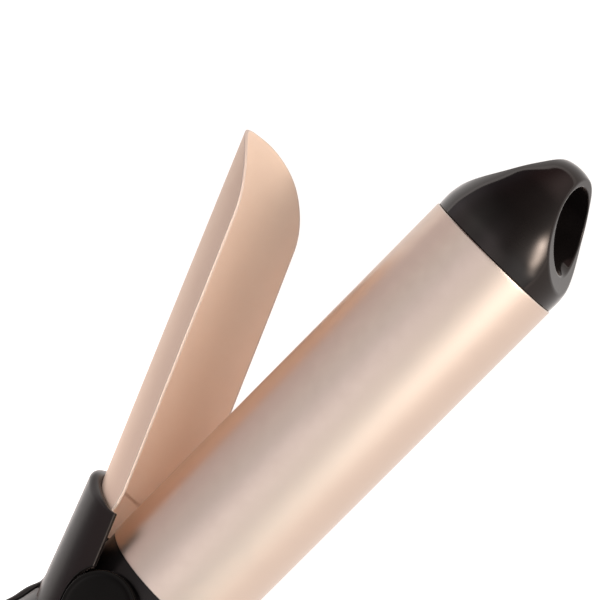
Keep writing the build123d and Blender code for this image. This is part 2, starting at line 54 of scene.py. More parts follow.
R = (tube_hi.z - tube_lo.z) / 2 * 1000.0
ORIGIN = np.array([tube_hi.x, (tube_lo.y + tube_hi.y) / 2, (tube_lo.z + tube_hi.z) / 2])
BARREL_L = (tube_hi.x - tube_lo.x) * 1000.0
JOINT = {j["name"]: j for j in frame["joints"]}
PIVOT = (np.array(JOINT["clamp_hinge"]["pos_m"]) - ORIGIN) * 1000.0
OPEN = math.radians(-JOINT["clamp_hinge"]["range_deg"][0])
HALF_W = (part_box("lever_housing")[1].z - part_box("lever_housing")[0].z) / 2 * 1000.0


def to_row(P, clamp=False):
    P = np.array(P, float)
    if clamp:
        c, s = math.cos(OPEN), math.sin(OPEN)
        dx, dy = P[:, 0] - PIVOT[0], P[:, 1] - PIVOT[1]
        P = np.stack([PIVOT[0] + c * dx - s * dy, PIVOT[1] + s * dx + c * dy, P[:, 2]], 1)
    return P / 1000.0 + ORIGIN


def turn(N, clamp=False):
    if not clamp:
        return N
    c, s = math.cos(OPEN), math.sin(OPEN)
    return np.stack([c * N[:, 0] - s * N[:, 1], s * N[:, 0] + c * N[:, 1], N[:, 2]], 1)


def add_mesh(name, P, faces, normals=None, clamp=False, body="handle", replaces=(), material=None):
    me = bpy.data.meshes.new(name)
    me.from_pydata(to_row(P, clamp).tolist(), [], [list(map(int, f)) for f in faces])
    me.validate(clean_customdata=False)
    me.polygons.foreach_set("use_smooth", [True] * len(me.polygons))
    if normals is not None:
        n = turn(np.asarray(normals, float), clamp)
        n = n / np.maximum(np.linalg.norm(n, axis=1, keepdims=True), 1e-9)
        me.normals_split_custom_set_from_vertices(n.tolist())
    me.update()
    ob = bpy.data.objects.new(name, me)
    bpy.context.scene.collection.objects.link(ob)
    if material is not None:
        me.materials.append(material)
    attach(ob, body)
    if replaces:
        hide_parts(*replaces)
    return ob


# ---------------------------------------------------------------------------
# curves and distance fields
# ---------------------------------------------------------------------------
def spline(pts, n=200, start=None, end=None):
    """cubic spline through points, by chord length; start and end are tangent directions"""
    p = np.array(pts, float)
    d = np.linalg.norm(np.diff(p, axis=0), axis=1)
    t = np.concatenate([[0], np.cumsum(d)])
    m = len(p)
    A = np.zeros((m, m)); B = np.zeros((m, p.shape[1]))
    h = np.diff(t)
    for i in range(1, m - 1):
        A[i, i - 1], A[i, i], A[i, i + 1] = h[i], 2 * (h[i - 1] + h[i]), h[i - 1]
        B[i] = 3 * (h[i] * (p[i] - p[i - 1]) / h[i - 1] + h[i - 1] * (p[i + 1] - p[i]) / h[i])
    if start is None:
        A[0, 0], A[0, 1] = 2, 1; B[0] = 3 * (p[1] - p[0]) / h[0]
    else:
        A[0, 0] = 1; B[0] = np.array(start, float) / np.linalg.norm(start)
    if end is None:
        A[-1, -1], A[-1, -2] = 2, 1; B[-1] = 3 * (p[-1] - p[-2]) / h[-1]
    else:
        A[-1, -1] = 1; B[-1] = np.array(end, float) / np.linalg.norm(end)
    D = np.linalg.solve(A, B)
    q = np.linspace(0, t[-1], n)
    i = np.clip(np.searchsorted(t, q, side="right") - 1, 0, m - 2)
    s = ((q - t[i]) / h[i])[:, None]
    hh = h[i][:, None]
    return ((1 + 2 * s) * (1 - s) ** 2 * p[i] + s * (1 - s) ** 2 * hh * D[i]
            + s * s * (3 - 2 * s) * p[i + 1] + s * s * (s - 1) * hh * D[i + 1])


class Outline:
    """signed distance to a closed outline, from a fine table"""

    def __init__(self, pts, h=0.2, pad=8.0):
        p = np.array(pts, float)
        self.lo = p.min(0) - pad
        self.h = h
        n = np.ceil((p.max(0) + pad - self.lo) / h).astype(int) + 1
        u = self.lo[0] + h * np.arange(n[0]); v = self.lo[1] + h * np.arange(n[1])
        U, V = np.meshgrid(u, v, indexing="ij")
        best = np.full(U.shape, 1e9); inside = np.zeros(U.shape, bool)
        a = p; b = np.roll(p, -1, axis=0)
        for (ax, ay), (bx, by) in zip(a, b):
            ex, ey = bx - ax, by - ay
            L = ex * ex + ey * ey
            if L < 1e-12:
                continue
            t = np.clip(((U - ax) * ex + (V - ay) * ey) / L, 0, 1)
            np.minimum(best, (U - ax - t * ex) ** 2 + (V - ay - t * ey) ** 2, out=best)
            if ay != by:
                c = ((ay > V) != (by > V)) & (U < ex * (V - ay) / ey + ax)
                inside ^= c
        self.T = np.where(inside, -1, 1) * np.sqrt(best)
        self.n = n

    def __call__(self, u, v):
        fu = np.clip((u - self.lo[0]) / self.h, 0, self.n[0] - 1.001)
        fv = np.clip((v - self.lo[1]) / self.h, 0, self.n[1] - 1.001)
        i = fu.astype(int); j = fv.astype(int)
        a = fu - i; b = fv - j
        T = self.T
        return ((T[i, j] * (1 - a) + T[i + 1, j] * a) * (1 - b) + (T[i, j + 1] * (1 - a) + T[i + 1, j + 1] * a) * b)


def both(a, b, r):
    """where two solids overlap, with the edge between them rounded"""
    return np.minimum(-r, np.maximum(a, b)) + np.hypot(np.maximum(a + r, 0), np.maximum(b + r, 0))


def either(a, b, r):
    """two solids joined, with the corner between them filled"""
    return np.maximum(r, np.minimum(a, b)) - np.hypot(np.maximum(r - a, 0), np.maximum(r - b, 0))


def step(x, a, b):
    t = np.clip((x - a) / (b - a), 0, 1)
    return t * t * (3 - 2 * t)


def grow(f, lo, hi, h):
    """surface of the field f as quads with its normals"""
    lo = np.array(lo, float)
    n = np.ceil((np.array(hi) - lo) / h).astype(int) + 1
    ax = [lo[k] + h * np.arange(n[k]) for k in range(3)]
    X, Y, Z = np.meshgrid(*ax, indexing="ij")
    V = f(X, Y, Z)
    S = V < 0
    cnt = sum(S[i:n[0] - 1 + i, j:n[1] - 1 + j, k:n[2] - 1 + k].astype(np.int8)
              for i in (0, 1) for j in (0, 1) for k in (0, 1))
    act = (cnt > 0) & (cnt < 8)
    cells = np.argwhere(act)
    idx = -np.ones(act.shape, np.int64)
    idx[act] = np.arange(len(cells))
    acc = np.zeros((len(cells), 3)); num = np.zeros(len(cells))
    corners = [(i, j, k) for i in (0, 1) for j in (0, 1) for k in (0, 1)]
    for a in corners:
        for axis in range(3):
            if a[axis]:
                continue
            b = list(a); b[axis] = 1
            va = V[cells[:, 0] + a[0], cells[:, 1] + a[1], cells[:, 2] + a[2]]
            vb = V[cells[:, 0] + b[0], cells[:, 1] + b[1], cells[:, 2] + b[2]]
            m = (va < 0) != (vb < 0)
            t = np.where(m, va / np.where(m, va - vb, 1), 0)
            p = np.repeat(np.array([a], float), len(cells), 0)
            p[:, axis] += t
            acc[m] += p[m]; num[m] += 1
    P = lo + h * (cells + acc / num[:, None])
    quads = []
    for axis in range(3):
        o1, o2 = [k for k in range(3) if k != axis]
        sl_a = [slice(None)] * 3; sl_b = [slice(None)] * 3
        sl_a[axis] = slice(0, -1); sl_b[axis] = slice(1, None)
        A = S[tuple(sl_a)]; B = S[tuple(sl_b)]
        e = np.argwhere(A != B)
        ok = (e[:, o1] > 0) & (e[:, o2] > 0) & (e[:, o1] < n[o1] - 1) & (e[:, o2] < n[o2] - 1)
        e = e[ok]
        q = []
        for d1, d2 in ((0, 0), (1, 0), (1, 1), (0, 1)):
            c = e.copy(); c[:, o1] -= d1; c[:, o2] -= d2
            q.append(idx[c[:, 0], c[:, 1], c[:, 2]])
        q = np.stack(q, 1)
        flip = A[e[:, 0], e[:, 1], e[:, 2]]
        if axis == 1:
            flip = ~flip
        q[~flip] = q[~flip][:, ::-1]
        quads.append(q)
    F = np.concatenate(quads)

    def slope(P):
        g = np.zeros_like(P)
        for k in range(3):
            d = np.zeros(3); d[k] = 0.03
            g[:, k] = (f(*(P + d).T) - f(*(P - d).T)) / 0.06
        return g
    for _ in range(4):
        g = slope(P)
        v = f(*P.T)
        s = -v[:, None] * g / np.maximum((g * g).sum(1), 0.05)[:, None]
        l = np.linalg.norm(s, axis=1, keepdims=True)
        P = P + s * np.minimum(1, 0.5 * h / np.maximum(l, 1e-9))
    N = slope(P)
    # faces wind so that they look outwards
    c = np.cross(P[F[:, 1]] - P[F[:, 0]], P[F[:, 2]] - P[F[:, 0]])
    m = N[F].mean(1)
    if ((c * m).sum(1)).mean() < 0:
        F = F[:, ::-1]
    return P, F, N


def lathe(profile, seg=192, close_start=False, close_end=False, axis_y=0.0, axis_z=0.0):
    """turned shape about the x axis from (x, r) pairs"""
    pr = np.array(profile, float)
    a = np.linspace(0, 2 * math.pi, seg, endpoint=False)
    P = np.stack([np.repeat(pr[:, 0], seg),
                  (pr[:, 1][:, None] * np.cos(a)).ravel() + axis_y,
                  (pr[:, 1][:, None] * np.sin(a)).ravel() + axis_z], 1)
    F = []
    for i in range(len(pr) - 1):
        for j in range(seg):
            k = (j + 1) % seg
            F.append((i * seg + j, i * seg + k, (i + 1) * seg + k, (i + 1) * seg + j))
    F = np.array(F)
    out = F.tolist()
    extra = []
    if close_start:
        P = np.vstack([P, [pr[0, 0], axis_y, axis_z]])
        c = len(P) - 1
        out += [(c, (j + 1) % seg, j) for j in range(seg)]
    if close_end:
        P = np.vstack([P, [pr[-1, 0], axis_y, axis_z]])
        c = len(P) - 1
        o = (len(pr) - 1) * seg
        out += [(c, o + j, o + (j + 1) % seg) for j in range(seg)]
    return P, out


def arc(cx, cy, r, a0, a1, n=6):
    return [(cx + r * math.cos(math.radians(a0 + (a1 - a0) * i / n)), cy + r * math.sin(math.radians(a0 + (a1 - a0) * i / n)))
            for i in range(n + 1)]


# ---------------------------------------------------------------------------
# materials
# ---------------------------------------------------------------------------
def nodes_of(name):
    m = bpy.data.materials.new(name)
    m.use_nodes = True
    nt = m.node_tree
    b = nt.nodes["Principled BSDF"]
    return m, nt, b


def noise(nt, scale, detail=3.0, rough=0.55, coord="Object", stretch=None, dim=None):
    tc = nt.nodes.new("ShaderNodeTexCoord")
    mp = nt.nodes.new("ShaderNodeMapping")
    mp.inputs["Scale"].default_value = stretch or (1, 1, 1)
    n = nt.nodes.new("ShaderNodeTexNoise")
    n.inputs["Scale"].default_value = scale
    n.inputs["Detail"].default_value = detail
    n.inputs["Roughness"].default_value = rough
    nt.links.new(tc.outputs[coord], mp.inputs["Vector"])
    nt.links.new(mp.outputs["Vector"], n.inputs["Vector"])
    return n.outputs["Fac"]


def ramp(nt, fac, stops):
    r = nt.nodes.new("ShaderNodeValToRGB")
    r.color_ramp.elements[0].position = stops[0][0]
    r.color_ramp.elements[0].color = (*stops[0][1], 1)
    r.color_ramp.elements[1].position = stops[-1][0]
    r.color_ramp.elements[1].color = (*stops[-1][1], 1)
    for pos, col in stops[1:-1]:
        e = r.color_ramp.elements.new(pos)
        e.color = (*col, 1)
    nt.links.new(fac, r.inputs["Fac"])
    return r.outputs["Color"]


def remap(nt, fac, lo, hi, a=0.0, b=1.0):
    m = nt.nodes.new("ShaderNodeMapRange")
    m.inputs["From Min"].default_value = a
    m.inputs["From Max"].default_value = b
    m.inputs["To Min"].default_value = lo
    m.inputs["To Max"].default_value = hi
    nt.links.new(fac, m.inputs["Value"])
    return m.outputs["Result"]


def bump(nt, b, height, strength, distance):
    n = nt.nodes.new("ShaderNodeBump")
    n.inputs["Strength"].default_value = strength
    n.inputs["Distance"].default_value = distance
    nt.links.new(height, n.inputs["Height"])
    nt.links.new(n.outputs["Normal"], b.inputs["Normal"])
    return n


def shade(c, k):
    return tuple(max(0.0, min(1.0, v * k)) for v in c)


def finish_material(name, color, metallic=0.0, rough=(0.3, 0.4), vary=0.04, grain=3200.0, grain_strength=0.08,
                    grain_depth=0.00004, coat=0.0, coat_rough=0.1, ior=1.5, blotch=60.0, stretch=None, spec=0.5,
                    blotch_stretch=None, anis=0.0, tint=None, edge=None, sheen=0.0, painted_shade_ramp=None):
    m, nt, b = nodes_of(name)
    big = noise(nt, blotch, 3.0, 0.5, stretch=blotch_stretch)
    col = ramp(nt, big, [(0.3, shade(color, 1 - vary)), (0.5, color), (0.7, shade(color, 1 + vary))])
    if painted_shade_ramp:
        # painted shade: colour is scaled evenly along x from one end of the piece to the other, lighter at one end and
        # darker at the other, standing in for how the light falls along it
        x0, x1, k0, k1 = painted_shade_ramp
        co = nt.nodes.new("ShaderNodeTexCoord")
        sp = nt.nodes.new("ShaderNodeSeparateXYZ")
        nt.links.new(co.outputs["Object"], sp.inputs[0])
        painted_shade_gain = remap(nt, sp.outputs["X"], k0, k1, x0, x1)
        ml = nt.nodes.new("ShaderNodeVectorMath")
        ml.operation = "SCALE"
        nt.links.new(col, ml.inputs[0])
        nt.links.new(painted_shade_gain, ml.inputs["Scale"])
        col = ml.outputs[0]
    # painted highlight: rim vertices marked by the attribute take the edge colour, which sets the tint and brightness
    # of the bright line along the rims
    if edge:
        at = nt.nodes.new("ShaderNodeAttribute")
        at.attribute_name = "cut_edge_highlight"
        mx = nt.nodes.new("ShaderNodeMix")
        mx.data_type = "RGBA"
        nt.links.new(at.outputs["Fac"], mx.inputs[0])
        nt.links.new(col, mx.inputs[6])
        mx.inputs[7].default_value = (*edge, 1)
        col = mx.outputs[2]
    nt.links.new(col, b.inputs["Base Color"])
    if tint:
        b.inputs["Specular Tint"].default_value = (*tint, 1)
    if sheen:
        b.inputs["Sheen Weight"].default_value = sheen
        b.inputs["Sheen Roughness"].default_value = 0.22
        b.inputs["Sheen Tint"].default_value = (1.0, 0.74, 0.62, 1)
    b.inputs["Metallic"].default_value = metallic
    fine = noise(nt, grain, 2.0, 0.6, stretch=stretch)
    mid = noise(nt, blotch * 7.0, 4.0, 0.6)
    nt.links.new(remap(nt, mid, rough[0], rough[1], 0.3, 0.7), b.inputs["Roughness"])
    b.inputs["IOR"].default_value = ior
    b.inputs["Specular IOR Level"].default_value = spec
    if anis:
        b.inputs["Anisotropic"].default_value = anis
    b.inputs["Coat Weight"].default_value = coat
    b.inputs["Coat Roughness"].default_value = coat_rough
    bump(nt, b, fine, grain_strength, grain_depth)
    return m


# rose finish of barrel and clamp: satin, finely blasted, the barrel with a clear coat
ROSE = (0.625, 0.484, 0.398)
MAT = {}
# the edge colours are painted highlight: they set the tint of the bright line along the barrel's rims and the plate's
# cut edge
MAT["barrel_rose"] = finish_material("satin_rose", ROSE, 1.0, (0.38, 0.44), 0.012, 5200.0, 0.10, 0.00003, 0.25, 0.22, blotch=45.0, edge=(0.62, 0.52, 0.45))
# painted shade on the clamp plate: its colour is lighter at the root and darker towards the free end
MAT["clamp_rose"] = finish_material("satin_rose_clamp", (0.88, 0.663, 0.52), 0.6, (0.54, 0.60), 0.012, 5200.0, 0.10, 0.00003, blotch=45.0, edge=(0.66, 0.52, 0.44), painted_shade_ramp=(0.0335, 0.1166, 1.12, 0.87))
MAT["gloss_black"] = finish_material("gloss_black", (0.0075, 0.0058, 0.0054), 0.0, (0.07, 0.10), 0.25, 900.0, 0.02, 0.00002, 0.0, 0.03, 1.5, blotch=80.0, spec=0.30, tint=(1.0, 0.84, 0.77), sheen=0.2)
# painted shade: a darker, less glossy copy of the gloss black, so that the pivot discs read darker than the tip
DISC_BLACK_SHADED = finish_material("disc_black_shaded", (0.0050, 0.0044, 0.0040), 0.0, (0.06, 0.09), 0.2, 900.0, 0.02, 0.00002, ior=1.5, blotch=90.0, spec=0.10, tint=(1.0, 0.88, 0.80))
MAT["neck_black"] = finish_material("neck_black", (0.0075, 0.0062, 0.0060), 0.0, (0.28, 0.33), 0.25, 3200.0, 0.012, 0.00001, ior=1.5, blotch=80.0, spec=0.17, tint=(1.0, 0.86, 0.80))
MAT["housing_black"] = finish_material("housing_black", (0.0065, 0.0050, 0.0046), 0.0, (0.30, 0.33), 0.12, 2600.0, 0.03, 0.00002, ior=1.5, blotch=80.0, spec=0.32, tint=(1.0, 0.84, 0.77), sheen=0.45)
MAT["handle_black"] = finish_material("handle_black", (0.0105, 0.0090, 0.0086), 0.0, (0.36, 0.44), 0.18, 2400.0, 0.22, 0.00006, ior=1.5, blotch=60.0)
MAT["soft_black"] = finish_material("soft_black", (0.014, 0.013, 0.013), 0.0, (0.62, 0.72), 0.2, 3200.0, 0.35, 0.00008, ior=1.45, blotch=60.0)
MAT["stand_steel"] = finish_material("stand_black", (0.013, 0.012, 0.0115), 0.0, (0.30, 0.38), 0.2, 2200.0, 0.14, 0.00005, ior=1.5, blotch=60.0)
MAT["button_rose"] = finish_material("button_rose", (0.74, 0.54, 0.45), 0.9, (0.30, 0.36), 0.02, 4200.0, 0.08, 0.00003, 0.3, 0.15, blotch=120.0)
MAT["button_black"] = finish_material("button_black", (0.014, 0.013, 0.013), 0.0, (0.24, 0.32), 0.2, 2600.0, 0.10, 0.00004, ior=1.5, blotch=120.0)
MAT["steel"] = finish_material("steel", (0.56, 0.56, 0.57), 1.0, (0.24, 0.36), 0.05, 1600.0, 0.12, 0.00003, blotch=200.0, stretch=(1, 0.1, 1))
MAT["black_steel"] = finish_material("black_steel", (0.05, 0.048, 0.047), 0.8, (0.35, 0.48), 0.1, 1800.0, 0.14, 0.00003, blotch=240.0)
MAT["brass"] = finish_material("brass", (0.72, 0.50, 0.20), 1.0, (0.25, 0.36), 0.06, 1800.0, 0.10, 0.00003, blotch=240.0)
MAT["raw_aluminium"] = finish_material("raw_aluminium", (0.72, 0.73, 0.74), 1.0, (0.32, 0.45), 0.04, 1500.0, 0.16, 0.00004, blotch=120.0, stretch=(0.05, 1, 1))
MAT["mica"] = finish_material("mica", (0.62, 0.55, 0.38), 0.0, (0.55, 0.7), 0.12, 1400.0, 0.2, 0.00006, blotch=260.0)
MAT["ceramic_white"] = finish_material("ceramic_white", (0.82, 0.79, 0.73), 0.0, (0.5, 0.62), 0.03, 2000.0, 0.1, 0.00003, blotch=120.0)
MAT["glass_bead"] = finish_material("glass_bead", (0.70, 0.36, 0.14), 0.0, (0.08, 0.14), 0.08, 1200.0, 0.02, 0.00002, blotch=300.0)
MAT["clear_lens"] = finish_material("clear_lens", (0.72, 0.78, 0.82), 0.0, (0.12, 0.18), 0.04, 1500.0, 0.03, 0.00002, blotch=300.0)
MAT["board_green"] = finish_material("board_green", (0.02, 0.14, 0.055), 0.0, (0.25, 0.34), 0.15, 1200.0, 0.06, 0.00003, blotch=200.0)
MAT["switch_black"] = finish_material("switch_black", (0.02, 0.02, 0.02), 0.0, (0.4, 0.52), 0.15, 2000.0, 0.12, 0.00004, blotch=200.0)
MAT["capacitor_red"] = finish_material("capacitor_red", (0.22, 0.03, 0.015), 0.0, (0.22, 0.3), 0.1, 1200.0, 0.04, 0.00003, blotch=200.0)
MAT["lead_sleeve"] = finish_material("lead_sleeve", (0.60, 0.56, 0.48), 0.0, (0.6, 0.75), 0.08, 2600.0, 0.4, 0.0001, blotch=240.0)

slot_of = {s["node"]: s["material_slot"] for s in frame["record"]["subparts"]}
for name, ob in frame["nodes"].items():
    me = ob.data
    mat = MAT[slot_of[name]]
    if len(me.materials):
        for i in range(len(me.materials)):
            me.materials[i] = mat
    else:
        me.materials.append(mat)

# ---------------------------------------------------------------------------
# barrel: turned tube with rolled rims
# ---------------------------------------------------------------------------
TUBE_RI = 17.85
rim = 0.34
profile = [(-BARREL_L, TUBE_RI + 0.1), (-BARREL_L, R - rim)]
profile += arc(-BARREL_L + rim, R - rim, rim, 180, 90, 6)[1:]
profile += [(x, R) for x in np.linspace(-BARREL_L + 1.2, -1.2, 60)]
profile += arc(-rim, R - rim, rim, 90, 0, 6)
profile += [(0, TUBE_RI + 0.1), (-0.1, TUBE_RI), (-BARREL_L + 0.1, TUBE_RI), (-BARREL_L, TUBE_RI + 0.1)]
P, F = lathe(profile, 256)
barrel = add_mesh("barrel_skin", P, F, body="handle", replaces=("barrel_tube",), material=MAT["barrel_rose"])
barrel.data.polygons.foreach_set("use_smooth", [True] * len(barrel.data.polygons))
bpy.context.view_layer.update()

# ---------------------------------------------------------------------------
# cool tip: turned dome, scooped on two sides, with the hanging hole
# ---------------------------------------------------------------------------
TIP = [(0.0, 18.75), (3.8, 18.78), (6.19, 18.42), (8.57, 17.86), (10.95, 17.15), (13.34, 16.22), (15.72, 15.12),
       (18.10, 13.98), (20.48, 12.78), (22.86, 11.20), (25.24, 9.25), (27.62, 6.95), (29.3, 4.2), (30.1, 0.0)]
half = spline(TIP, 240, start=(1, 0.02), end=(0, -1))
half[0] = (0.03, 18.75)
dome_line = np.vstack([half, (half * [1, -1])[::-1]])
dome = Outline(dome_line, 0.15, 5.0)
SCOOP_X, SCOOP_Y, SCOOP_R = 52.6, 69.85, 70.1
HOLE_X, HOLE_R = 17.8, 9.6


def tip_field(x, y, z):
    r = np.hypot(y, z)
    d = dome(x, r)
    base = 0.03 - x
    d = both(d, base, 0.30)
    s = SCOOP_R - np.hypot(x - SCOOP_X, np.abs(y) - SCOOP_Y)
    d = both(d, s, 0.30)
    h = HOLE_R - np.hypot(x - HOLE_X, z)
    return both(d, h, 0.35)


P, F, N = grow(tip_field, (-1.0, -19.6, -19.6), (31.0, 19.6, 19.6), 0.30)
tip = add_mesh("cool_tip_shell", P, F, N, body="handle", replaces=("cool_tip",), material=MAT["gloss_black"])

# ---------------------------------------------------------------------------
# clamp plate: curved sheet with a rounded free end, closed position
# ---------------------------------------------------------------------------
SHEET_RI, SHEET_RO, WRAP = 19.35, 20.30, math.radians(71.3)
BEND_X = -1.33 * R
MID = 1.04 * R
RHO_DEG = np.array([0, 15, 30, 45, 60, 75, 90.0])
RHO = np.array([1.294, 1.296, 1.303, 1.321, 1.324, 1.311, 1.293]) * R
rho_line = spline(np.stack([RHO_DEG, RHO / 0.3], 1), 400, start=(1, 0), end=(1, 0))
REAR = -117.0


def end_radius(th):
    d = np.degrees(np.minimum(th, math.pi - th))
    return np.interp(d, rho_line[:, 0], rho_line[:, 1] * 0.3)


WIDEN = np.array([(-130, -20.6), (-112.4, -20.6), (-112.1, -19.6), (-111.6, -12.0), (-111.2, -5.0), (-110.7, -2.6), (-110.0, -1.8), (-106, -1.5), (-104.3, -0.9), (-102, 0.1), (-100, 0.45), (-98, 0.68), (-90, 0.66), (-80, 0.50), (-60, 0.32),
                  (-40, 0.2), (-25.4, 0.0)])


def build_sheet():
    nt, nk = 84, 20
    xs = np.concatenate([np.linspace(REAR, -112.6, 6, endpoint=False), np.linspace(-112.6, -110.0, 22, endpoint=False), np.linspace(-110.0, -106.0, 8, endpoint=False), np.linspace(-106.0, -97.0, 74, endpoint=False), np.linspace(-97.0, BEND_X, 60, endpoint=False)])
    nx = len(xs)
    th = np.linspace(0, math.pi, nt)
    ks = np.linspace(0, 1, nk + 1)[1:]
    rimr = 0.16
    # path across the section: outer skin from the middle to the rim, round the rim, inner skin back
    path = [(k, 0.0, SHEET_RO) for k in ks[:-1]] + [(1.0, 0.8, SHEET_RO), (1.0, 0.35, SHEET_RO)]
    path += [(1.0, rimr - rimr * math.sin(a), SHEET_RO - rimr + rimr * math.cos(a)) for a in np.radians(np.linspace(0, 90, 5))]
    path += [(1.0, rimr - rimr * math.cos(a), SHEET_RI + rimr - rimr * math.sin(a)) for a in np.radians(np.linspace(0, 90, 5))]
    path += [(1.0, 0.35, SHEET_RI), (1.0, 0.8, SHEET_RI)] + [(k, 0.0, SHEET_RI) for k in ks[:-1][::-1]]
    # stations round the outline: the +z side from the rear, round the end, back along the -z side
    st = [("x", x, 1) for x in xs] + [("t", t, 0) for t in th] + [("x", x, -1) for x in xs[::-1]]

    def place(station, k, inset, r):
        kind, v, sgn = station
        if kind == "x":
            s = (RHO[0] + np.interp(v, WIDEN[:, 0], WIDEN[:, 1]) - inset) * k * sgn
            x = v
        else:
            rr = (end_radius(v) - inset) * k
            s = rr * math.cos(v)
            x = BEND_X + rr * math.sin(v)
        a = s / MID
        inner = r < (SHEET_RI + SHEET_RO) / 2
        rad = r
        if inner:
            # a shallow joggle where the plate enters the housing
            xc = -5.155 * R - 0.30 * R * abs(a)
            rad = r + 0.25 * float(step(xc - x, -0.12, 0.12))
        return (x, rad * math.cos(a), rad * math.sin(a)), (0.0, math.cos(a), math.sin(a)) if not inner else (0.0, -math.cos(a), -math.sin(a))

    P, Nn, F = [], [], []
    m = len(path)
    for sti in st:
        for (k, inset, r) in path:
            p, nn = place(sti, k, inset, r)
            P.append(p)
    ns = len(st)
    for i in range(ns - 1):
        for j in range(m - 1):
            a = i * m + j
            F.append((a, a + 1, a + m + 1, a + m))
    # middle lines, outer and inner: join the two sides along the spine
    base = len(P)
    spine_o, spine_i = [], []
    for x in list(xs) + [BEND_X]:
        for r, lst in ((SHEET_RO, spine_o), (SHEET_RI, spine_i)):
            rad = r
            if r == SHEET_RI:
                rad = r + 0.25 * float(step(-5.155 * R - x, -0.12, 0.12))
            lst.append(len(P)); P.append((x, rad, 0.0))
    for i in range(nx - 1):
        for side in (0, 1):
            ia, ib = (i, i + 1) if side == 0 else (ns - 1 - i, ns - 2 - i)
            qo = (spine_o[i], ia * m, ib * m, spine_o[i + 1])
            qi = (spine_i[i], spine_i[i + 1], ib * m + m - 1, ia * m + m - 1)
            if side == 1:
                qo, qi = qo[::-1], qi[::-1]
            F.append(qo); F.append(qi)
    for side in (0, 1):
        ia, ib = (nx - 1, nx) if side == 0 else (ns - nx, ns - nx - 1)
        qo = (spine_o[nx - 1], ia * m, ib * m, spine_o[nx])
        qi = (spine_i[nx - 1], spine_i[nx], ib * m + m - 1, ia * m + m - 1)
        if side == 1:
            qo, qi = qo[::-1], qi[::-1]
        F.append(qo); F.append(qi)
    for i in range(nx, nx + nt - 1):
        F.append((spine_o[nx], i * m, (i + 1) * m))
        F.append((spine_i[nx], (i + 1) * m + m - 1, i * m + m - 1))
    # rear edge
    F.append([j for j in range(m)][::-1] + [spine_o[0]] + [(ns - 1) * m + j for j in range(m)][::1] + [spine_i[0]])
    P = np.array(P, float)
    # rim vertices, marked for the painted highlight colour along the plate's cut edge
    cut_highlight = np.zeros(len(P))
    rim = [j for j, (k, inset, r) in enumerate(path) if k == 1.0 and inset < 0.3]
    for i in range(ns):
        for j in rim:
            cut_highlight[i * m + j] = 1.0
    return P, F, cut_highlight


P, F, CUT_HIGHLIGHT = build_sheet()
plate = add_mesh("clamp_sheet", P, F, clamp=True, body="clamp", replaces=("clamp_plate",), material=MAT["clamp_rose"])
import bmesh
bm = bmesh.new(); bm.from_mesh(plate.data)
bmesh.ops.recalc_face_normals(bm, faces=bm.faces)
bm.to_mesh(plate.data); bm.free()
plate.data.set_sharp_from_angle(angle=math.radians(35))
# painted highlight: mark the plate's rim vertices for their own edge colour
cut_highlight = plate.data.attributes.new("cut_edge_highlight", "FLOAT", "POINT")
cut_highlight.data.foreach_set("value", CUT_HIGHLIGHT.astype(np.float32))

# ---------------------------------------------------------------------------
# lever housing: saddle over the plate's root, ears round the pivots, thumb lever
# ---------------------------------------------------------------------------
HOUSING_RI, EDGE_Y, EAR_R = 20.4, 4.6, 11.4
LIP = [(-96.0, 24.6), (-96.0, 22.4), (-96.7, 19.8), (-98.5, 17.2), (-100.7, 13.6), (-102.4, 10.2), (-103.8, 7.2), (-104.3, EDGE_Y)]
TOP = [(-120.0, 23.6), (-125.0, 24.6), (-127.8, 26.1), (-129.9, 28.4), (-134.7, 32.2), (-141.0, 37.2), (-150.0, 42.15), (-158.0, 45.45), (-164.6, 47.55)]
LEVER_T = 3.6
px, py = PIVOT[0], PIVOT[1]
a0 = math.asin((EDGE_Y - py) / EAR_R)
lip_line = spline([(-96.2, 28.5)] + LIP, 120)
ear = [(px + EAR_R * math.cos(a), py + EAR_R * math.sin(a)) for a in np.linspace(a0, math.pi - a0, 60)]
plan_pts = list(map(tuple, lip_line)) + ear + [(-140.0, EDGE_Y), (-139.0, 10.0), (-135.0, 17.5), (-131.5, 21.0), (-131.5, 28.5)]
planform = Outline(plan_pts, 0.2, 8.0)
top_line = spline(TOP, 80)
low_line = top_line[20:] + np.array([0.35 * LEVER_T, -0.93 * LEVER_T])
lever_side = Outline(list(map(tuple, top_line)) + list(map(tuple, low_line[::-1])) + [(-124.0, 22.0), (-120.0, 22.5)], 0.2, 8.0)
tongue_half = spline([(-120.0, 9.6), (-131.0, 9.6), (-140.0, 9.9), (-150.0, 10.8), (-157.0, 11.35), (-161.5, 9.6), (-163.8, 5.4), (-164.7, 0.0)], 120, end=(0, -1))
tongue = Outline(np.vstack([tongue_half, (tongue_half * [1, -1])[::-1]]), 0.2, 8.0)


